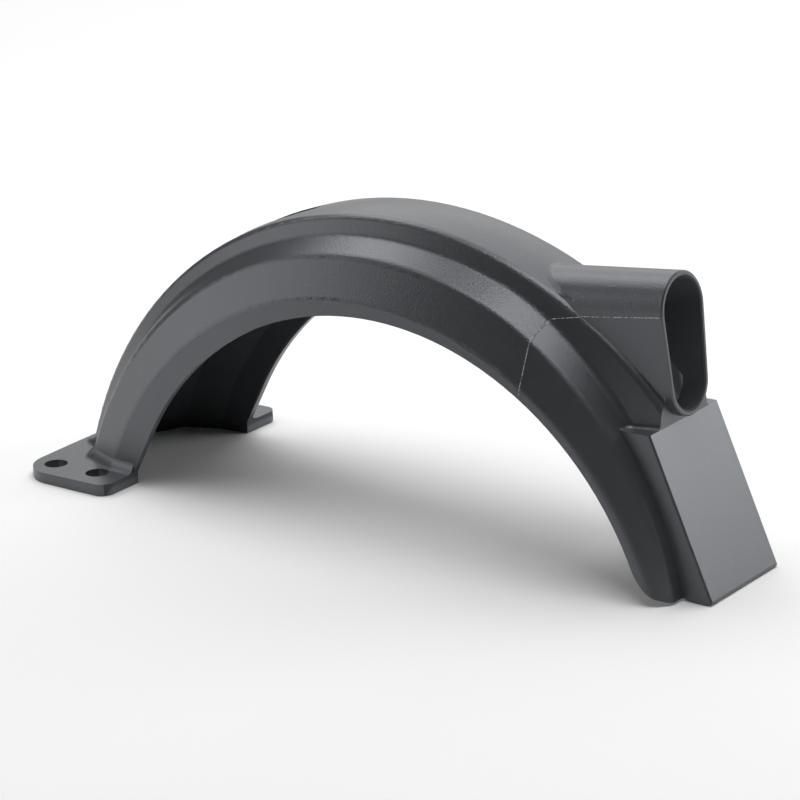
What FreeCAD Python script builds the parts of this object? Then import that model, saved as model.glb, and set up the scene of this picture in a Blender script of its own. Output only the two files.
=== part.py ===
import FreeCAD, Part
import math
import os

os.makedirs("parts", exist_ok=True)

# Frame: origin at the centre of the four foot holes on the foot's underside,
# X to the rear, Y to the right-hand side, Z up. Lengths in millimetres, angles in degrees.

# Foot plate
foot_front = 20.4
foot_rear = 22.5
foot_front_bow = 1.2
foot_width = 102.6
foot_thickness = 4.4
foot_front_corner = 13.0
foot_rear_corner = 5.0
foot_root_round = 4.0
hole_diameter = 8.8
hole_pitch_x = 20.3
hole_pitch_y = 82.0

# Wheel arch: stepped section swung about the wheel axis
wheel_axis_drop = 39.5
crown_setback = 4.7
wall = 2.6
crown_radius = 150.0
crown_width = 27.0
crown_rise = 1.1
crown_round = 95.0
crown_edge_round = 3.4
groove_drop = 6.5
groove_width = 35.0
groove_round = 3.5
shoulder_drop = 4.5
shoulder_width = 55.0
shoulder_round = 4.2
crease_drop = 14.0
crease_width = 67.0
crease_round = 5.0
skirt_drop = 25.0
skirt_width = 73.0
sharp_below = 2.0

# Stretch of the arch; toward the rear the shoulder sinks away from the crown
arch_rear_angle = 10.0
arch_front_angle = 172.0
sink_start_angle = 70.0
sink_ease = 12.0
sink_sections = 6
sink_per_degree = 0.29
shoulder_sink_share = 0.7

# Wheel opening that trims the skirts
skirt_depth = 34.4
opening_shift_x = 4.9
opening_shift_z = 4.0
opening_rear_corner = 20.0
skirt_straight = 14.0

# Number-plate holder: flat panel on a hollow wedge where the crown ends
crown_end_angle = 41.6
panel_drop = 7.9
panel_width = 43.6
panel_slope = 23.0
panel_length = 60.8
holder_depth = 40.0
holder_root_round = 2.0
holder_edge_round = 1.0

# Lamp socket: tapered pill-shaped tube standing out from the rear of the crown
socket_height = 49.8
socket_top_width = 26.4
socket_bottom_width = 23.2
socket_rise = 5.5
socket_overhang = 3.8
socket_gap = 1.7
socket_wall = 2.0
socket_floor = 9.0
socket_root_round = 6.0
socket_rim_break = 0.5
blend_sink = 0.06
blend_edge_sink = 0.4
blend_inset = 1.3

# Shallow recess along the front of the crown
recess_width = 11.0
recess_depth = 0.9
recess_rear_angle = 105.7
recess_front_angle = 138.0

# Reach of the cutting shapes past the moulding, and how near counts as touching
cut_margin = 20.0
beyond = 500.0
touch = 0.01

# Places that follow from the sizes above
arch_centre_z = -wheel_axis_drop
foot_top_reach = math.sqrt(crown_radius ** 2 - (foot_thickness + wheel_axis_drop) ** 2)
arch_centre_x = foot_top_reach + crown_setback - foot_front
panel_top_x = arch_centre_x + crown_radius * math.cos(math.radians(crown_end_angle))
panel_top_z = arch_centre_z + crown_radius * math.sin(math.radians(crown_end_angle)) - panel_drop
panel_bottom_x = panel_top_x + panel_length * math.sin(math.radians(panel_slope))
panel_bottom_z = panel_top_z - panel_length * math.cos(math.radians(panel_slope))
socket_depth = crown_radius / 2


def arch_point(radius, angle, y):
    """Point at a radius and angle about the wheel axis."""
    turn = math.radians(angle)
    x = arch_centre_x + radius * math.cos(turn)
    z = arch_centre_z + radius * math.sin(turn)
    return FreeCAD.Vector(x, y, z)


def whole_outline(angle):
    """Corners of the outer section from skirt to skirt: radius, side place, corner round."""
    along = max(0.0, sink_start_angle - angle)
    sink = sink_per_degree * (along - sink_ease / 2)
    if along < sink_ease:
        sink = sink_per_degree * along ** 2 / (2 * sink_ease)
    groove_radius = crown_radius - groove_drop
    shoulder_radius = groove_radius - shoulder_drop
    crease_radius = shoulder_radius - crease_drop
    half = [
        (crown_radius, crown_width / 2, crown_edge_round),
        (groove_radius - sink, groove_width / 2, groove_round),
        (shoulder_radius - shoulder_sink_share * sink, shoulder_width / 2, shoulder_round),
        (crease_radius, crease_width / 2, crease_round),
        (crease_radius - skirt_drop, skirt_width / 2, 0.0),
    ]
    near = [(radius, -y, corner) for radius, y, corner in reversed(half)]
    return near + [(crown_radius + crown_rise, 0.0, crown_round)] + half


def direction(start, end):
    """Unit direction between two section corners."""
    along_r = end[0] - start[0]
    along_y = end[1] - start[1]
    length = math.hypot(along_r, along_y)
    return along_r / length, along_y / length


def turn_between(before, after):
    """Signed angle from one direction to the next; positive where the corner is convex."""
    cross = before[0] * after[1] - before[1] * after[0]
    dot = before[0] * after[0] + before[1] * after[1]
    return math.atan2(cross, dot)


def offset_outline(outline, distance):
    """Section moved inward by a wall thickness, with its corner rounds kept parallel."""
    moved = []
    last = len(outline) - 1
    for index, (radius, y, corner) in enumerate(outline):
        before = direction(outline[max(index - 1, 0)], outline[max(index, 1)])
        after = direction(outline[min(index, last - 1)], outline[min(index + 1, last)])
        turn = turn_between(before, after)
        scale = distance / (1.0 + math.cos(turn))
        new_radius = radius - (before[1] + after[1]) * scale
        new_y = y + (before[0] + after[0]) * scale
        new_corner = corner - math.copysign(distance, turn)
        if new_corner < sharp_below:
            new_corner = 0.0
        moved.append((new_radius, new_y, new_corner))
    return moved


def section_wire(outline, angle):
    """Closed wire of a section with its corners rounded, apart from its ends and sharp inner corners."""
    edges = []
    start = outline[0]
    for index in range(1, len(outline) - 1):
        corner = outline[index]
        before = direction(outline[index - 1], corner)
        after = direction(corner, outline[index + 1])
        half_turn = abs(turn_between(before, after)) / 2
        reach = corner[2] * math.tan(half_turn)
        bulge = corner[2] * (1 / math.cos(half_turn) - 1)
        inward_r = after[0] - before[0]
        inward_y = after[1] - before[1]
        inward = math.hypot(inward_r, inward_y)
        first = (corner[0] - reach * before[0], corner[1] - reach * before[1])
        middle = (corner[0] + bulge * inward_r / inward, corner[1] + bulge * inward_y / inward)
        second = (corner[0] + reach * after[0], corner[1] + reach * after[1])
        points = [arch_point(place[0], angle, place[1]) for place in (start, first, middle, second)]
        edges.append(Part.LineSegment(points[0], points[1]).toShape())
        if corner[2] > 0:
            edges.append(Part.Arc(points[1], points[2], points[3]).toShape())
        start = second
    points = [arch_point(place[0], angle, place[1]) for place in (start, outline[-1], outline[0])]
    edges.append(Part.LineSegment(points[0], points[1]).toShape())
    edges.append(Part.LineSegment(points[1], points[2]).toShape())
    return Part.Wire(edges)


def arch_section(distance, angle):
    """Section wire of the skin moved inward by a distance, at an angle about the wheel axis."""
    outline = whole_outline(angle)
    if distance > 0:
        outline = offset_outline(outline, distance)
    return section_wire(outline, angle)


def arch_volume(distance):
    """Solid bounded by the arch's skin moved inward: swung at the front, lofted where it sinks."""
    face = Part.Face(arch_section(distance, sink_start_angle))
    centre = FreeCAD.Vector(arch_centre_x, 0, arch_centre_z)
    front = face.revolve(centre, FreeCAD.Vector(0, -1, 0), arch_front_angle - sink_start_angle)
    stretch = sink_start_angle - arch_rear_angle
    angles = [arch_rear_angle + stretch * index / sink_sections for index in range(sink_sections + 1)]
    rear = Part.makeLoft([arch_section(distance, angle) for angle in angles], True, False)
    return front.fuse(rear)


def side_prism(edges, half_depth):
    """Profile drawn in the side view made solid across the middle plane."""
    face = Part.Face(Part.Wire(edges))
    face.translate(FreeCAD.Vector(0, -half_depth, 0))
    return face.extrude(FreeCAD.Vector(0, 2 * half_depth, 0))


def side_lines(points):
    """Straight edges through places in the side view, in order."""
    places = [FreeCAD.Vector(x, 0, z) for x, z in points]
    return [Part.LineSegment(start, end).toShape() for start, end in zip(places, places[1:])]


def foot_plate():
    """Flat foot with a bowed front edge and rounded corners."""
    half = foot_width / 2
    bow_x = foot_front_bow - foot_front
    near_front = FreeCAD.Vector(bow_x, -half, 0)
    far_front = FreeCAD.Vector(bow_x, half, 0)
    far_rear = FreeCAD.Vector(foot_rear, half, 0)
    near_rear = FreeCAD.Vector(foot_rear, -half, 0)
    edges = [
        Part.Arc(near_front, FreeCAD.Vector(-foot_front, 0, 0), far_front).toShape(),
        Part.LineSegment(far_front, far_rear).toShape(),
        Part.LineSegment(far_rear, near_rear).toShape(),
        Part.LineSegment(near_rear, near_front).toShape(),
    ]
    plate = Part.Face(Part.Wire(edges)).extrude(FreeCAD.Vector(0, 0, foot_thickness))
    corners = ((near_front, foot_front_corner), (far_front, foot_front_corner))
    corners += ((far_rear, foot_rear_corner), (near_rear, foot_rear_corner))
    for corner, radius in corners:
        upright = corner + FreeCAD.Vector(0, 0, foot_thickness / 2)
        edge = min(plate.Edges, key=lambda one: (one.CenterOfMass - upright).Length)
        plate = plate.makeFillet(radius, [edge])
    return plate


def foot_holes():
    """Four plain through holes."""
    holes = []
    for side_x in (-0.5, 0.5):
        for side_y in (-0.5, 0.5):
            centre = FreeCAD.Vector(side_x * hole_pitch_x, side_y * hole_pitch_y, -cut_margin)
            holes.append(Part.makeCylinder(hole_diameter / 2, foot_thickness + 2 * cut_margin, centre))
    return holes


def wheel_opening():
    """Round opening that trims both skirts, straight down to the foot, rounded at the lower rear."""
    radius = crown_radius - skirt_depth
    centre_x = arch_centre_x + opening_shift_x
    centre_z = arch_centre_z + opening_shift_z
    corner_z = panel_bottom_z + opening_rear_corner
    corner_x = centre_x + math.sqrt((radius + opening_rear_corner) ** 2 - (corner_z - centre_z) ** 2)
    lean = math.atan2(corner_z - centre_z, corner_x - centre_x)
    middle_lean = math.pi + (lean + math.pi / 2) / 2
    front_z = foot_thickness + skirt_straight
    front_x = centre_x - math.sqrt(radius ** 2 - (front_z - centre_z) ** 2)
    low = panel_bottom_z - cut_margin
    front = FreeCAD.Vector(front_x, 0, front_z)
    top = FreeCAD.Vector(centre_x, 0, centre_z + radius)
    leave = FreeCAD.Vector(centre_x + radius * math.cos(lean), 0, centre_z + radius * math.sin(lean))
    corner = FreeCAD.Vector(corner_x, 0, corner_z)
    swing = FreeCAD.Vector(math.cos(middle_lean), 0, math.sin(middle_lean))
    end = FreeCAD.Vector(corner_x, 0, panel_bottom_z)
    edges = [
        Part.Arc(front, top, leave).toShape(),
        Part.Arc(leave, corner + swing * opening_rear_corner, end).toShape(),
    ]
    edges += side_lines([
        (corner_x, panel_bottom_z),
        (corner_x, low),
        (foot_rear, low),
        (foot_rear, foot_thickness),
        (front_x, front_z),
    ])
    return side_prism(edges, foot_width)


def socket_axes():
    """Directions forward along the socket's axis and up across its mouth."""
    rise = math.radians(socket_rise)
    forward = FreeCAD.Vector(-math.cos(rise), 0, -math.sin(rise))
    upward = FreeCAD.Vector(-math.sin(rise), 0, math.cos(rise))
    return forward, upward


def socket_base(depth):
    """Lowest point of the socket at a depth forward of its mouth."""
    forward = socket_axes()[0]
    return FreeCAD.Vector(panel_top_x + socket_overhang, 0, panel_top_z + socket_gap) + forward * depth


def socket_taper():
    """Lean of the socket's side planes, in radians."""
    centres_apart = socket_height - (socket_top_width + socket_bottom_width) / 2
    return math.asin((socket_top_width - socket_bottom_width) / 2 / centres_apart)


def socket_tube(inset, start, end):
    """Solid pill between two depths forward of the mouth, moved inward by a wall."""
    forward, upward = socket_axes()
    base = socket_base(start)
    top = base + upward * (socket_height - socket_top_width / 2)
    bottom = base + upward * (socket_bottom_width / 2)
    top_radius = socket_top_width / 2 - inset
    bottom_radius = socket_bottom_width / 2 - inset
    lean = socket_taper()
    far = FreeCAD.Vector(0, math.cos(lean), 0) - upward * math.sin(lean)
    near = FreeCAD.Vector(0, -math.cos(lean), 0) - upward * math.sin(lean)
    far_top = top + far * top_radius
    near_top = top + near * top_radius
    far_bottom = bottom + far * bottom_radius
    near_bottom = bottom + near * bottom_radius
    edges = [
        Part.Arc(far_top, top + upward * top_radius, near_top).toShape(),
        Part.LineSegment(near_top, near_bottom).toShape(),
        Part.Arc(near_bottom, bottom - upward * bottom_radius, far_bottom).toShape(),
        Part.LineSegment(far_bottom, far_top).toShape(),
    ]
    return Part.Face(Part.Wire(edges)).extrude(forward * (end - start))


def crown_slab():
    """Wide domed slab just under the crown, sunk a little more toward the crown's edges."""
    half_turn = math.atan2(crown_rise, crown_width / 2)
    crown_top = crown_radius + crown_rise - crown_round * (1 / math.cos(half_turn) - 1)
    rise = crown_top - crown_radius + blend_edge_sink
    dome = ((crown_width / 2) ** 2 + rise ** 2) / (2 * rise)
    high = arch_centre_z + crown_top - blend_sink
    edge_high = high - dome + math.sqrt(dome ** 2 - crown_width ** 2)
    low = high - cut_margin
    near_high = FreeCAD.Vector(arch_centre_x, -crown_width, edge_high)
    far_high = FreeCAD.Vector(arch_centre_x, crown_width, edge_high)
    near_low = FreeCAD.Vector(arch_centre_x, -crown_width, low)
    far_low = FreeCAD.Vector(arch_centre_x, crown_width, low)
    edges = [
        Part.Arc(near_high, FreeCAD.Vector(arch_centre_x, 0, high), far_high).toShape(),
        Part.LineSegment(far_high, far_low).toShape(),
        Part.LineSegment(far_low, near_low).toShape(),
        Part.LineSegment(near_low, near_high).toShape(),
    ]
    centre = FreeCAD.Vector(arch_centre_x, 0, arch_centre_z)
    return Part.Face(Part.Wire(edges)).revolve(centre, FreeCAD.Vector(0, 1, 0), 90 - crown_end_angle / 2)


def socket_slot():
    """Space between the socket's two side planes, reaching above and below it."""
    forward, upward = socket_axes()
    lean = socket_taper()
    far = []
    near = []
    for height in (-cut_margin, socket_height + cut_margin):
        reach = socket_bottom_width / 2 + (height - socket_bottom_width / 2) * math.sin(lean)
        middle = socket_base(0.0) + upward * height
        side = FreeCAD.Vector(0, reach / math.cos(lean) - blend_sink, 0)
        far.append(middle + side)
        near.append(middle - side)
    outline = [far[0], far[1], near[1], near[0], far[0]]
    return Part.Face(Part.makePolygon(outline)).extrude(forward * socket_depth)


def lies_on_crown(edge):
    """True where both ends of an edge lie at the crown's radius about the wheel axis."""
    reaches = [math.hypot(end.X - arch_centre_x, end.Z - arch_centre_z) for end in edge.Vertexes]
    return all(abs(reach - crown_radius) < crown_rise for reach in reaches)


def socket_blend():
    """Soft root of the socket on the crown, stopping at the socket's side planes."""
    joined = crown_slab().fuse(socket_tube(blend_sink, -cut_margin, socket_depth)).removeSplitter().Solids[0]
    root = [edge for edge in joined.Edges if lies_on_crown(edge)]
    joined = joined.makeFillet(socket_root_round, root)
    half_band = crown_width / 2 - blend_inset
    corner = FreeCAD.Vector(arch_centre_x, -half_band, -beyond)
    band = Part.makeBox(beyond, 2 * half_band, 2 * beyond, corner)
    return joined.common(socket_slot()).common(band).cut(rear_space(0.0))


def holder_wedge(inset, drop):
    """Wedge between the arch and the panel's plane, moved inward by a wall thickness."""
    slope = math.radians(panel_slope)
    back = inset / math.cos(slope)
    top_x = panel_top_x - back + inset * math.tan(slope)
    low_x = panel_bottom_x - back + drop * math.tan(slope)
    top_z = panel_top_z - inset
    low_z = panel_bottom_z - drop
    edges = side_lines([
        (top_x, top_z),
        (low_x, low_z),
        (low_x - holder_depth, low_z),
        (top_x - holder_depth, top_z),
        (top_x, top_z),
    ])
    return side_prism(edges, panel_width / 2 - inset)


def rear_space(inset):
    """Space behind the crown's end and the panel's plane, moved forward by a skin thickness."""
    slope = math.radians(panel_slope)
    end_x = panel_top_x - inset
    panel_x = panel_top_x - inset / math.cos(slope)
    high = crown_radius
    low = panel_bottom_z - cut_margin
    low_x = panel_x + (panel_top_z - low) * math.tan(slope)
    edges = side_lines([
        (end_x, high),
        (end_x, panel_top_z),
        (low_x, low),
        (beyond, low),
        (beyond, high),
        (end_x, high),
    ])
    return side_prism(edges, foot_width)


def space_below():
    """Space under the foot's underside and under the panel's lower end."""
    front_corner = FreeCAD.Vector(arch_centre_x - beyond, -beyond, -beyond)
    rear_corner = FreeCAD.Vector(arch_centre_x, -beyond, -beyond)
    front = Part.makeBox(beyond, 2 * beyond, beyond, front_corner)
    rear = Part.makeBox(beyond, 2 * beyond, beyond + panel_bottom_z, rear_corner)
    return front.fuse(rear)


def crown_recess():
    """Shallow channel sunk into the front of the crown."""
    deep = crown_radius + crown_rise - recess_depth
    high = crown_radius + cut_margin
    middle_angle = (recess_rear_angle + recess_front_angle) / 2
    deep_arc = [arch_point(deep, angle, 0) for angle in (recess_rear_angle, middle_angle, recess_front_angle)]
    high_arc = [arch_point(high, angle, 0) for angle in (recess_front_angle, middle_angle, recess_rear_angle)]
    edges = [
        Part.Arc(*deep_arc).toShape(),
        Part.LineSegment(deep_arc[-1], high_arc[0]).toShape(),
        Part.Arc(*high_arc).toShape(),
        Part.LineSegment(high_arc[-1], deep_arc[0]).toShape(),
    ]
    return side_prism(edges, recess_width / 2)


def lies_level(edge, height):
    """True where an edge lies in the level plane at a height."""
    box = edge.BoundBox
    return abs(box.ZMin - height) < touch and abs(box.ZMax - height) < touch


def is_free_form(edge):
    """True where an edge runs on the arch's swept skin."""
    return edge.Curve.TypeId == "Part::GeomBSplineCurve"


def round_foot(body):
    """Round the root where the arch rises from the foot."""
    root = [edge for edge in body.Edges if lies_level(edge, foot_thickness) and is_free_form(edge)]
    return body.makeFillet(foot_root_round, root)


def round_holder(body):
    """Blend the holder's top into the arch and break the panel's side and bottom edges."""
    root = [edge for edge in body.Edges if lies_level(edge, panel_top_z) and is_free_form(edge)]
    body = body.makeFillet(holder_root_round, root)
    rim = []
    for edge in body.Edges:
        box = edge.BoundBox
        on_panel = box.XMax > panel_top_x + socket_overhang and edge.Curve.TypeId == "Part::GeomLine"
        on_side = abs(abs(edge.CenterOfMass.y) - panel_width / 2) < touch
        sloping = on_side and box.ZLength > panel_length / 2 and box.XMin > panel_top_x - holder_root_round
        bottom = lies_level(edge, panel_bottom_z) and box.YLength > panel_width - holder_root_round
        if on_panel and (sloping or bottom):
            rim.append(edge)
    return body.makeFillet(holder_edge_round, rim)


def round_mouth(body):
    """Break the inner and outer edges of the socket's mouth."""
    forward = socket_axes()[0]
    base = socket_base(0.0)
    rim = []
    for edge in body.Edges:
        in_plane = all(abs((end.Point - base).dot(forward)) < touch for end in edge.Vertexes)
        if in_plane and edge.BoundBox.ZMin > panel_top_z:
            rim.append(edge)
    return body.makeChamfer(socket_rim_break, rim)


def mudguard():
    """The whole moulding: outer shape first, then its hollow and its openings."""
    body = arch_volume(0.0).cut([space_below(), rear_space(0.0)])
    socket = socket_tube(0.0, 0.0, socket_depth)
    body = body.fuse([foot_plate(), socket, socket_blend(), holder_wedge(0.0, 0.0)])
    body = body.removeSplitter().Solids[0]
    body = round_foot(body)
    body = round_holder(body)
    hollow = arch_volume(wall).cut([rear_space(wall), socket_tube(0.0, 0.0, socket_floor)])
    passage = socket_tube(socket_wall, -cut_margin, socket_depth)
    body = body.cut([hollow, holder_wedge(wall, cut_margin), passage])
    body = body.cut([wheel_opening(), crown_recess()] + foot_holes())
    return round_mouth(body.removeSplitter().Solids[0])


mudguard().exportStep("parts/mudguard.step")
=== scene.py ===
"""Looks of a moulded scooter mudguard: satin graphite plastic in a plain white studio."""

import logging
import math
from dataclasses import dataclass, field
from enum import Enum
from typing import Any, Iterable, Sequence, Union

import bpy
import numpy as np
from mathutils import Matrix, Vector
from mathutils.bvhtree import BVHTree


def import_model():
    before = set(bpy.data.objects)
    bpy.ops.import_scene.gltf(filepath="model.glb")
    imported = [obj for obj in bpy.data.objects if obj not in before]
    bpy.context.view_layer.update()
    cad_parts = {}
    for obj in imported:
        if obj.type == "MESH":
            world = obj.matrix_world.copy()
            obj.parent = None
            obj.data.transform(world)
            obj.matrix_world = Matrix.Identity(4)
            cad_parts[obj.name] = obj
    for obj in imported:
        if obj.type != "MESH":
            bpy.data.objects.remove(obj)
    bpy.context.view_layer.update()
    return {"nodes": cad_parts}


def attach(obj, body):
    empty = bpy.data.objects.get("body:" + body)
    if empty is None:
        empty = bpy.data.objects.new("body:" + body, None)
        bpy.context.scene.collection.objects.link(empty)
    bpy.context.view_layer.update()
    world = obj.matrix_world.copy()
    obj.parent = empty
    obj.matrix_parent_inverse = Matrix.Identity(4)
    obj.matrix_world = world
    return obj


LOG = logging.getLogger("mudguard")
MM = 0.001
NODE = "mudguard"
BODY = "root"
ACROSS = (0.0, 1.0, 0.0)
NOISE_MIDDLE = 0.5
WHITE = (1.0, 1.0, 1.0, 1.0)
Number = Union[int, float]
Operand = Union["Value", Number]
Colour = tuple[float, float, float]
Place = tuple[float, float, float]


class Side(Enum):
    """Side of the middle plane: the near one has negative Y."""

    NEAR = -1.0
    FAR = 1.0


class Value:
    """One shader socket whose arithmetic adds maths nodes."""

    def __init__(self, shading: "Shading", socket: bpy.types.NodeSocket | None) -> None:
        """Keeps the nodes of one material and a socket of theirs, or none behind a last node."""
        self.shading = shading
        self.socket = socket

    def _maths(self, operation: str, *operands: Operand) -> "Value":
        """Adds one maths node.

        Args:
            operation: name of the operation.
            operands: sockets or plain numbers, in order.

        Returns:
            The node's result.
        """
        tree = self.shading.tree
        node = tree.nodes.new("ShaderNodeMath")
        node.operation = operation
        for index, operand in enumerate(operands):
            if isinstance(operand, Value):
                tree.links.new(operand.socket, node.inputs[index])
            else:
                node.inputs[index].default_value = float(operand)
        return Value(self.shading, node.outputs[0])

    def __add__(self, other: Operand) -> "Value":
        """This value plus another, in either order."""
        return self._maths("ADD", self, other)

    __radd__ = __add__

    def __sub__(self, other: Operand) -> "Value":
        """This value less another."""
        return self._maths("SUBTRACT", self, other)

    def __rsub__(self, other: Number) -> "Value":
        """A number less this value."""
        return self._maths("SUBTRACT", other, self)

    def __mul__(self, other: Operand) -> "Value":
        """This value times another, in either order."""
        return self._maths("MULTIPLY", self, other)

    __rmul__ = __mul__

    def __truediv__(self, other: Operand) -> "Value":
        """This value over another."""
        return self._maths("DIVIDE", self, other)

    def __rtruediv__(self, other: Number) -> "Value":
        """A number over this value."""
        return self._maths("DIVIDE", other, self)

    def __pow__(self, other: Operand) -> "Value":
        """This value to the power of another."""
        return self._maths("POWER", self, other)

    def __rpow__(self, other: Number) -> "Value":
        """A number to the power of this value."""
        return self._maths("POWER", other, self)

    def at_least(self, other: Operand) -> "Value":
        """The larger of this value and another."""
        return self._maths("MAXIMUM", self, other)

    def at_most(self, other: Operand) -> "Value":
        """The smaller of this value and another."""
        return self._maths("MINIMUM", self, other)

    def step_up(self, low: Number, high: Number) -> "Value":
        """Smooth rise from 0 at low to 1 at high.

        Args:
            low: value where the rise starts.
            high: value where the rise ends.

        Returns:
            The eased value.
        """
        return self.shading.node(
            "MapRange", "Result", {"interpolation_type": "SMOOTHSTEP"},
            Value=self, From_Min=float(low), From_Max=float(high),
        )


class Shading:
    """The nodes of one material or world, and the way new ones are added."""

    def __init__(self, owner: Union[bpy.types.Material, bpy.types.World]) -> None:
        """Empties the nodes of a material or world.

        Args:
            owner: the material or world.
        """
        owner.use_nodes = True
        self.tree = owner.node_tree
        self.tree.nodes.clear()

    def node(
        self, kind: str, output: str, settings: dict[str, Any] | None = None, **inputs: Any
    ) -> Value:
        """Adds one node.

        Args:
            kind: node type without its common prefix.
            output: name of the output that is wanted, or empty for a last node.
            settings: attributes of the node, which are set first.
            inputs: socket values or links, by socket name with underscores for spaces, or by
                identifier.

        Returns:
            The wanted output, wrapped.
        """
        node = self.tree.nodes.new("ShaderNode" + kind)
        for key, value in (settings or {}).items():
            setattr(node, key, value)
        for key, value in inputs.items():
            name = key.replace("_", " ")
            socket = next(
                one for one in node.inputs
                if one.enabled and (one.name == name or one.identifier == key)
            )
            if isinstance(value, Value):
                self.tree.links.new(value.socket, socket)
            else:
                socket.default_value = value
        wanted = [one for one in node.outputs if one.enabled and one.name == output]
        return Value(self, wanted[0] if wanted else None)

    def split(self, vector: Value, axes: str = "XYZ") -> list[Value]:
        """Parts of a vector along the named axes."""
        return [self.node("SeparateXYZ", axis, Vector=vector) for axis in axes]

    def blend(
        self, share: Value, first: Union[Value, Colour], second: Union[Value, Colour]
    ) -> Value:
        """Colour between two others.

        Args:
            share: share of the second colour, from 0 to 1.
            first: colour at no share.
            second: colour at full share.

        Returns:
            The blended colour.
        """
        ends = [one if isinstance(one, Value) else (*one, 1.0) for one in (first, second)]
        return self.node(
            "Mix", "Result", {"data_type": "RGBA"}, Factor=share, A=ends[0], B=ends[1]
        )


@dataclass(frozen=True)
class Bore:
    """Pill-shaped bore of the lamp socket, in millimetres, given painted shade: a darker colour,
    and a rougher surface.

    The bore's axis climbs to the rear. Its section is all that lies within a radius of the line
    between a lower and an upper centre, and that radius grows evenly from one to the other.
    """

    base_x: float = 243.70
    base_z: float = 53.89
    climb: float = 5.5
    lower: float = 11.6
    upper: float = 36.6
    lower_radius: float = 9.6
    upper_radius: float = 11.2
    front_x: float = 166.0
    edge: float = 0.4

    def share(self, shading: Shading, place: Value) -> Value:
        """Share of the bore at a place: one inside it, easing to nothing just past its wall.

        Args:
            shading: the material's nodes.
            place: the place in object coordinates.

        Returns:
            The share, from 0 to 1.
        """
        turn = math.radians(self.climb)
        x, y, z = (part / MM for part in shading.split(place))
        height = (z - self.base_z) * math.cos(turn) - (x - self.base_x) * math.sin(turn)
        nearest = height.at_least(self.lower).at_most(self.upper)
        growth = (self.upper_radius - self.lower_radius) / (self.upper - self.lower)
        radius = self.lower_radius + (nearest - self.lower) * growth
        away = (y * y + (height - nearest) * (height - nearest)) ** 0.5
        within = (radius + 2.0 * self.edge - away).step_up(0.0, self.edge)
        return within * (x - self.front_x).step_up(0.0, self.edge)


@dataclass(frozen=True)
class InnerShade:
    """Inside of the arch, in millimetres, given the same painted shade and rougher surface as the
    socket's bore.

    A face belongs to it where its normal points back to the wheel axis or the middle plane. The
    opening's trimmed rim and what lies behind the arch's hollow stay out of it.
    """

    axis_x: float = 127.7
    axis_z: float = -39.5
    side_weight: float = 2.0
    turned: float = 8.0
    opening_x: float = 132.6
    opening_z: float = -35.5
    opening_radius: float = 115.6
    rear_x: float = 231.0
    edge: float = 0.6

    def share(self, shading: Shading, place: Value) -> Value:
        """Share of the arch's inside at a place.

        The lean is the face's normal times the place seen from the wheel axis, with its part
        across the arch weighted up; the share is one where the lean is clearly below zero.

        Args:
            shading: the material's nodes.
            place: the place in object coordinates.

        Returns:
            The share, from 0 to 1.
        """
        x, y, z = (part / MM for part in shading.split(place))
        normal_x, normal_y, normal_z = shading.split(shading.node("TexCoord", "Normal"))
        along = normal_x * (x - self.axis_x)
        lean = along + normal_y * y * self.side_weight + normal_z * (z - self.axis_z)
        inward = (0.0 - lean).step_up(0.0, self.turned)
        opening = ((x - self.opening_x) ** 2.0 + (z - self.opening_z) ** 2.0) ** 0.5
        off_rim = (opening - self.opening_radius).step_up(self.edge, 2.0 * self.edge)
        return inward * off_rim * (self.rear_x - x).step_up(0.0, self.edge)


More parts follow.
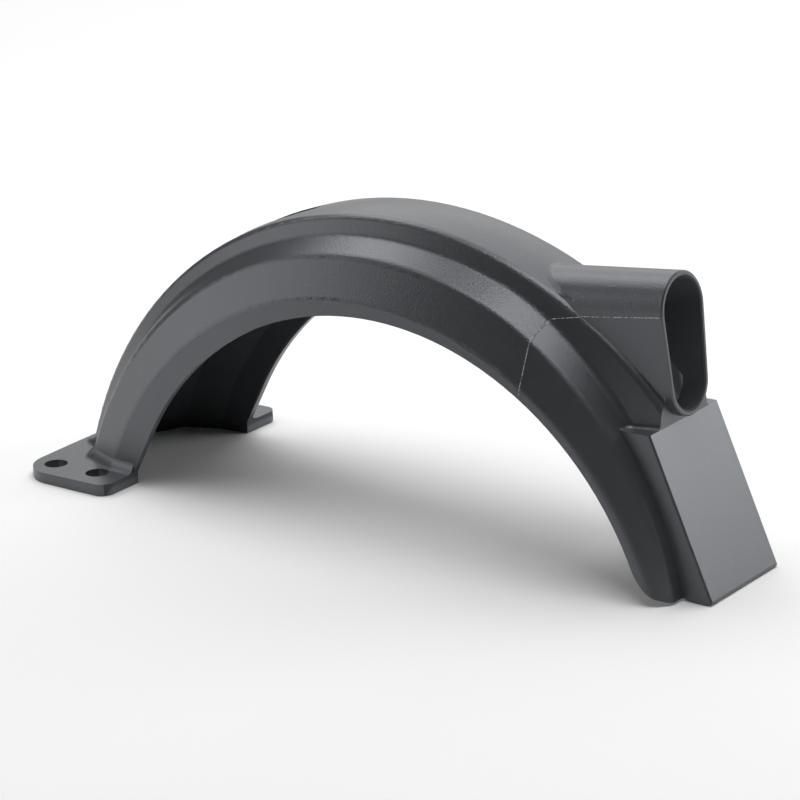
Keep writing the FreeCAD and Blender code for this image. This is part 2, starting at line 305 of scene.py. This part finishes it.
@dataclass(frozen=True)
class PlasticFinish:
    """Satin injection-moulded plastic with a fine spark-eroded grain.

    The mould insert behind and below the witness line has a smoother grain. Its edge is a plane
    across the arch and a line that climbs slowly along the socket, both in millimetres. The index
    of refraction is above a usual plastic's, for a clear sheen under plain light.
    """

    name: str = "graphite_plastic"
    dark: Colour = (0.0365, 0.0386, 0.0427)
    light: Colour = (0.051, 0.054, 0.059)
    cloud_per_metre: float = 14.0
    cloud_detail: float = 3.0
    cloud_tone: float = 0.7
    fine_tone: float = 0.3
    tone_low: float = 0.3
    tone_high: float = 0.7
    roughness: float = 0.34
    cloud_roughness: float = 0.08
    fine_roughness: float = 0.06
    fine_per_metre: float = 2600.0
    fine_detail: float = 2.0
    fine_height: float = 0.6
    pebble_per_metre: float = 1400.0
    pebble_smoothness: float = 0.6
    pebble_height: float = 0.7
    grain_height: float = 0.08 * MM
    index: float = 1.75
    tint: Colour = (0.90, 0.94, 1.0)
    bore: Bore = field(default_factory=Bore)
    # The bore and the arch's inside get painted shade: the colour below, and a rougher surface.
    inner_shade: InnerShade = field(default_factory=InnerShade)
    painted_shade_colour: Colour = (0.016, 0.017, 0.019)
    core_roughness: float = 0.75
    insert_x: float = 197.0
    insert_z: float = 85.2
    insert_climb: float = 0.13
    insert_edge: float = 0.4
    insert_grain: float = 0.35

    def insert(self, shading: Shading, place: Value) -> Value:
        """Share of the smoother insert at a place.

        The share is one where the place lies behind the plane and below the climbing line, and
        eases to nothing over the edge's width.

        Args:
            shading: the material's nodes.
            place: the place in object coordinates.

        Returns:
            The share, from 0 to 1.
        """
        x, z = (part / MM for part in shading.split(place, "XZ"))
        behind = (x - self.insert_x).step_up(0.0, self.insert_edge)
        line = self.insert_z + (x - self.insert_x) * self.insert_climb
        below = (line - z).step_up(0.0, self.insert_edge)
        return behind * below

    def build(self) -> bpy.types.Material:
        """Builds the material: colour clouds, roughness drift, two sizes of grain and painted
        shade in the bore and the arch's inside.

        Returns:
            The material.
        """
        material = bpy.data.materials.new(self.name)
        shading = Shading(material)
        place = shading.node("TexCoord", "Object")
        cloud = shading.node(
            "TexNoise", "Fac", Vector=place, Scale=self.cloud_per_metre, Detail=self.cloud_detail
        )
        fine = shading.node(
            "TexNoise", "Fac", Vector=place, Scale=self.fine_per_metre, Detail=self.fine_detail
        )
        pebble = shading.node(
            "TexVoronoi", "Distance", {"feature": "SMOOTH_F1"},
            Vector=place, Scale=self.pebble_per_metre, Smoothness=self.pebble_smoothness,
        )
        depth = 1.0 - self.insert(shading, place) * (1.0 - self.insert_grain)
        grain = (fine * self.fine_height + pebble * self.pebble_height) * depth
        tone = cloud * self.cloud_tone + fine * self.fine_tone
        paleness = tone.step_up(self.tone_low, self.tone_high)
        skin = shading.blend(paleness, self.dark, self.light)
        # Painted shade: the socket's bore and the arch's inside are darkened in colour, and made
        # rougher.
        shade_and_dull = self.bore.share(shading, place).at_least(self.inner_shade.share(shading, place))
        colour = shading.blend(shade_and_dull, skin, self.painted_shade_colour)
        bump = shading.node(
            "Bump", "Normal", Strength=1.0, Distance=self.grain_height, Height=grain
        )
        drift = self.roughness + (cloud - NOISE_MIDDLE) * self.cloud_roughness
        drift = drift + (fine - NOISE_MIDDLE) * self.fine_roughness
        roughness = drift + shade_and_dull * (self.core_roughness - self.roughness)
        surface = shading.node(
            "BsdfPrincipled", "BSDF", Base_Color=colour, Roughness=roughness, Normal=bump,
            IOR=self.index, Specular_Tint=(*self.tint, 1.0),
        )
        shading.node("OutputMaterial", "", Surface=surface)
        return material


@dataclass(frozen=True)
class RidgeHighlightFinish:
    """Pale, broken-up colour along the mould's witness line: painted highlight on its ridge."""

    name: str = "witness_painted_highlight"
    dark: Colour = (0.11, 0.112, 0.118)
    pale: Colour = (0.50, 0.51, 0.52)
    roughness: float = 0.45
    pale_roughness: float = 0.2
    speck_per_metre: float = 900.0
    speck_detail: float = 1.0
    speck_low: float = 0.40
    speck_high: float = 0.62

    def build(self) -> bpy.types.Material:
        """Builds the material: pale specks of painted highlight on dark plastic, rougher where
        they are pale.

        Returns:
            The material.
        """
        material = bpy.data.materials.new(self.name)
        shading = Shading(material)
        place = shading.node("TexCoord", "Object")
        noise = shading.node(
            "TexNoise", "Fac", Vector=place, Scale=self.speck_per_metre, Detail=self.speck_detail
        )
        speck = noise.step_up(self.speck_low, self.speck_high)
        # Painted highlight: the pale specks stand in for light caught by the ridge.
        colour = shading.blend(speck, self.dark, self.pale)
        roughness = self.roughness + speck * self.pale_roughness
        surface = shading.node("BsdfPrincipled", "BSDF", Base_Color=colour, Roughness=roughness)
        shading.node("OutputMaterial", "", Surface=surface)
        return material


@dataclass(frozen=True)
class FloorFinish:
    """White paper; the distances where white takes over run from the frame's origin, in metres."""

    name: str = "white_floor"
    colour: Colour = (0.93, 0.93, 0.93)
    roughness: float = 0.9
    white_from: float = 0.45
    white_to: float = 1.1

    def build(self) -> bpy.types.Material:
        """Builds the material: paper that takes shadows near the object, plain white farther off.

        Returns:
            The material.
        """
        material = bpy.data.materials.new(self.name)
        shading = Shading(material)
        paper = shading.node(
            "BsdfPrincipled", "BSDF",
            Base_Color=(*self.colour, 1.0), Roughness=self.roughness, Specular_IOR_Level=0.0,
        )
        white = shading.node("Emission", "Emission", Color=WHITE, Strength=1.0)
        place = shading.node("TexCoord", "Object")
        reach = shading.node("VectorMath", "Value", {"operation": "LENGTH"}, Vector=place)
        seen, mirrored, through = (
            shading.node("LightPath", ray)
            for ray in ("Is Camera Ray", "Is Glossy Ray", "Is Transmission Ray")
        )
        shown = seen.at_least(mirrored).at_least(through)
        far_white = reach.step_up(self.white_from, self.white_to) * shown
        surface = shading.node(
            "MixShader", "Shader", Fac=far_white, Shader=paper, Shader_001=white
        )
        shading.node("OutputMaterial", "", Surface=surface)
        return material


def new_mesh(name: str, points: np.ndarray, quads: np.ndarray) -> bpy.types.Object:
    """Makes a smooth mesh object from points and four-sided faces.

    Args:
        name: the object's name.
        points: places in metres, one row each.
        quads: point numbers, four a row.

    Returns:
        The new object, linked to the scene.
    """
    mesh = bpy.data.meshes.new(name)
    mesh.from_pydata(points.tolist(), [], quads.tolist())
    mesh.polygons.foreach_set("use_smooth", np.ones(len(mesh.polygons), bool))
    mesh.update()
    piece = bpy.data.objects.new(name, mesh)
    bpy.context.scene.collection.objects.link(piece)
    return piece


def grid_quads(rows: int, columns: int) -> np.ndarray:
    """Faces of a grid of points stored row by row.

    Args:
        rows: number of rows.
        columns: number of points in a row.

    Returns:
        Point numbers of each face.
    """
    corner = (np.arange(rows - 1)[:, None] * columns + np.arange(columns - 1)[None, :]).ravel()
    return np.stack([corner, corner + 1, corner + columns + 1, corner + columns], axis=1)


@dataclass
class Moulding:
    """The moulded mudguard itself, kept as built and dressed in plastic."""

    finish: PlasticFinish = field(default_factory=PlasticFinish)

    def dress(self, node: bpy.types.Object) -> bpy.types.Material:
        """Puts the finish into every material slot.

        Args:
            node: the CAD node.

        Returns:
            The material used.
        """
        material = self.finish.build()
        for slot in node.material_slots:
            slot.material = material
        return material


@dataclass
class WitnessLine:
    """Fine ridge left where two mould parts meet, round the rear of the arch and along the socket.

    The ridge follows a bent line drawn in the side view, in millimetres; each place on it is found
    by looking straight at the moulding from the side, from a start in metres.
    """

    corners: tuple[tuple[float, float], ...] = (
        (196.0, 61.4), (196.8, 81.6), (198.3, 85.3), (208.2, 86.6), (240.0, 90.8),
    )
    radius: float = 0.16
    sunk: float = 0.06
    spacing: float = 0.5
    around: int = 8
    look_from: float = 0.2

    def path(self, tree: BVHTree, side: Side) -> np.ndarray:
        """Places along the line on the moulding's skin.

        Args:
            tree: search tree of the moulding's faces.
            side: which side to look from.

        Returns:
            Places in metres, one row each.
        """
        corners = np.array(self.corners)
        lengths = np.hypot(*np.diff(corners, axis=0).T)
        along = np.concatenate([[0.0], np.cumsum(lengths)])
        steps = np.arange(0.0, along[-1], self.spacing)
        x = np.interp(steps, along, corners[:, 0]) * MM
        z = np.interp(steps, along, corners[:, 1]) * MM
        look = Vector((0.0, -side.value, 0.0))
        found = []
        for one_x, one_z in zip(x, z):
            start = Vector((one_x, side.value * self.look_from, one_z))
            place, normal, _, _ = tree.ray_cast(start, look)
            if place is not None:
                found.append(tuple(place - normal * self.sunk * MM))
        return np.array(found)

    def build(
        self, node: bpy.types.Object, side: Side, material: bpy.types.Material
    ) -> bpy.types.Object:
        """Sweeps a small circle along the line.

        A place on the sweep is the path's place plus the radius times the cosine of the turn
        along the first normal and the sine of the turn along the second.

        Args:
            node: the moulding.
            side: which side the line is on.
            material: the ridge's finish, with its painted highlight.

        Returns:
            The ridge.
        """
        mesh = node.data
        tree = BVHTree.FromPolygons(
            [vertex.co for vertex in mesh.vertices],
            [tuple(face.vertices) for face in mesh.polygons],
        )
        path = self.path(tree, side)
        tangent = np.gradient(path, axis=0)
        tangent /= np.linalg.norm(tangent, axis=1, keepdims=True)
        first = np.cross(tangent, ACROSS)
        first /= np.linalg.norm(first, axis=1, keepdims=True)
        second = np.cross(tangent, first)
        turn = np.linspace(0.0, 2.0 * math.pi, self.around + 1)[None, :, None]
        ring = np.cos(turn) * first[:, None, :] + np.sin(turn) * second[:, None, :]
        points = (path[:, None, :] + self.radius * MM * ring).reshape(-1, 3)
        quads = grid_quads(len(path), self.around + 1)
        piece = new_mesh("witness_line_" + side.name.lower(), points, quads)
        piece.data.materials.append(material)
        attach(piece, BODY)
        return piece


@dataclass
class SoftBox:
    """One rectangular studio light.

    The light looks from its place at its aim; width and height are in metres and power in watts.
    """

    name: str
    place: Place
    aim: Place
    width: float
    height: float
    power: float

    def build(self) -> bpy.types.Object:
        """Adds the light.

        Returns:
            The light object.
        """
        light = bpy.data.lights.new(self.name, "AREA")
        light.shape = "RECTANGLE"
        light.size = self.width
        light.size_y = self.height
        light.energy = self.power
        lamp = bpy.data.objects.new(self.name, light)
        look = Vector(self.aim) - Vector(self.place)
        lamp.location = self.place
        lamp.rotation_euler = look.to_track_quat("-Z", "Y").to_euler()
        bpy.context.scene.collection.objects.link(lamp)
        return lamp


@dataclass
class Viewpoint:
    """The photograph's camera: a long lens from the rear on the near side.

    The place is in metres, the angles in degrees, and the lens and its sensor in millimetres.
    """

    place: Place = (0.81495, -0.92018, 0.42107)
    yaw: float = 37.03
    pitch: float = 18.34
    roll: float = 2.40
    lens: float = 153.0
    sensor: float = 36.0

    def build(self) -> bpy.types.Object:
        """Adds the camera and makes it the scene's own.

        The forward direction is found from the yaw and pitch, and the picture's sides are then
        turned about it by the roll.

        Returns:
            The camera object.
        """
        yaw, pitch, roll = (math.radians(angle) for angle in (self.yaw, self.pitch, self.roll))
        ahead = math.cos(pitch)
        forward = Vector((-math.sin(yaw) * ahead, math.cos(yaw) * ahead, -math.sin(pitch)))
        level = Vector((math.cos(yaw), math.sin(yaw), 0.0))
        down = forward.cross(level)
        right = math.cos(roll) * level + math.sin(roll) * down
        lower = math.cos(roll) * down - math.sin(roll) * level
        turn = Matrix((right, -lower, -forward)).transposed()
        camera = bpy.data.cameras.new("camera")
        camera.lens = self.lens
        camera.sensor_width = self.sensor
        viewer = bpy.data.objects.new("camera", camera)
        viewer.matrix_world = Matrix.Translation(self.place) @ turn.to_4x4()
        bpy.context.scene.collection.objects.link(viewer)
        bpy.context.scene.camera = viewer
        return viewer


@dataclass
class Studio:
    """Flat white floor, soft lights and camera.

    The two rests are the places, in millimetres in the side view, on which the part stands; the
    floor runs through both, lowered by a small gap in metres.
    """

    floor: FloorFinish = field(default_factory=FloorFinish)
    viewpoint: Viewpoint = field(default_factory=Viewpoint)
    half_floor: float = 40.0
    front_rest: tuple[float, float] = (22.5, 0.0)
    rear_rest: tuple[float, float] = (263.2, -3.78)
    gap: float = 0.0002
    ambient: float = 0.03
    lights: tuple[SoftBox, ...] = (
        SoftBox(
            "back", place=(-0.20, 0.88, 0.85), aim=(0.13, 0.0, 0.05),
            width=1.5, height=1.4, power=9.8,
        ),
        SoftBox(
            "top", place=(0.38, -0.05, 1.25), aim=(0.26, 0.0, 0.05),
            width=1.0, height=0.8, power=9.3,
        ),
        SoftBox(
            "rear", place=(1.00, 0.89, 0.36), aim=(0.25, 0.0, 0.06),
            width=0.8, height=0.45, power=5.4,
        ),
        SoftBox(
            "left", place=(-0.88, -0.62, 0.45), aim=(0.06, 0.0, 0.06),
            width=0.9, height=1.0, power=4.4,
        ),
        SoftBox(
            "high_left", place=(-0.62, 0.15, 1.09), aim=(0.20, 0.0, 0.09),
            width=0.7, height=0.5, power=3.1,
        ),
    )

    def lay_floor(self) -> bpy.types.Object:
        """Flat floor through the foot's rear edge and the panel's lower edge.

        A place's height is the front rest's, plus the slope between the rests times its distance
        behind the front rest, less the gap.

        Returns:
            The floor.
        """
        (front_x, front_z), (rear_x, rear_z) = self.front_rest, self.rear_rest
        slope = (rear_z - front_z) / (rear_x - front_x)
        ends = np.array([-self.half_floor, self.half_floor])
        x, y = np.meshgrid(ends, ends, indexing="ij")
        z = front_z * MM + slope * (x - front_x * MM) - self.gap
        points = np.stack([x.ravel(), y.ravel(), z.ravel()], axis=1)
        floor = new_mesh("floor", points, grid_quads(2, 2)[:, ::-1])
        floor.data.materials.append(self.floor.build())
        return floor

    def world(self) -> None:
        """Puts plain dim grey surroundings round the scene."""
        world = bpy.data.worlds.new("studio")
        shading = Shading(world)
        level = (self.ambient, self.ambient, self.ambient, 1.0)
        room = shading.node("Background", "Background", Color=level, Strength=1.0)
        shading.node("OutputWorld", "", Surface=room)
        bpy.context.scene.world = world

    def build(self) -> None:
        """Sets the whole studio up."""
        self.lay_floor()
        self.world()
        for light in self.lights:
            light.build()
        self.viewpoint.build()
        bpy.context.scene.view_settings.view_transform = "Standard"


def main() -> None:
    """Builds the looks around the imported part."""
    logging.basicConfig(level=logging.INFO, format="%(message)s")
    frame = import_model()
    node = frame["nodes"][NODE]
    plastic = Moulding().dress(node)
    LOG.info("dressed %s with %s", NODE, plastic.name)
    # The ridge's finish carries a painted highlight.
    ridge_highlight = RidgeHighlightFinish().build()
    for side in Side:
        ridge = WitnessLine().build(node, side, ridge_highlight)
        LOG.info("added %s with %d faces", ridge.name, len(ridge.data.polygons))
    Studio().build()


if __name__ == "__main__":
    main()
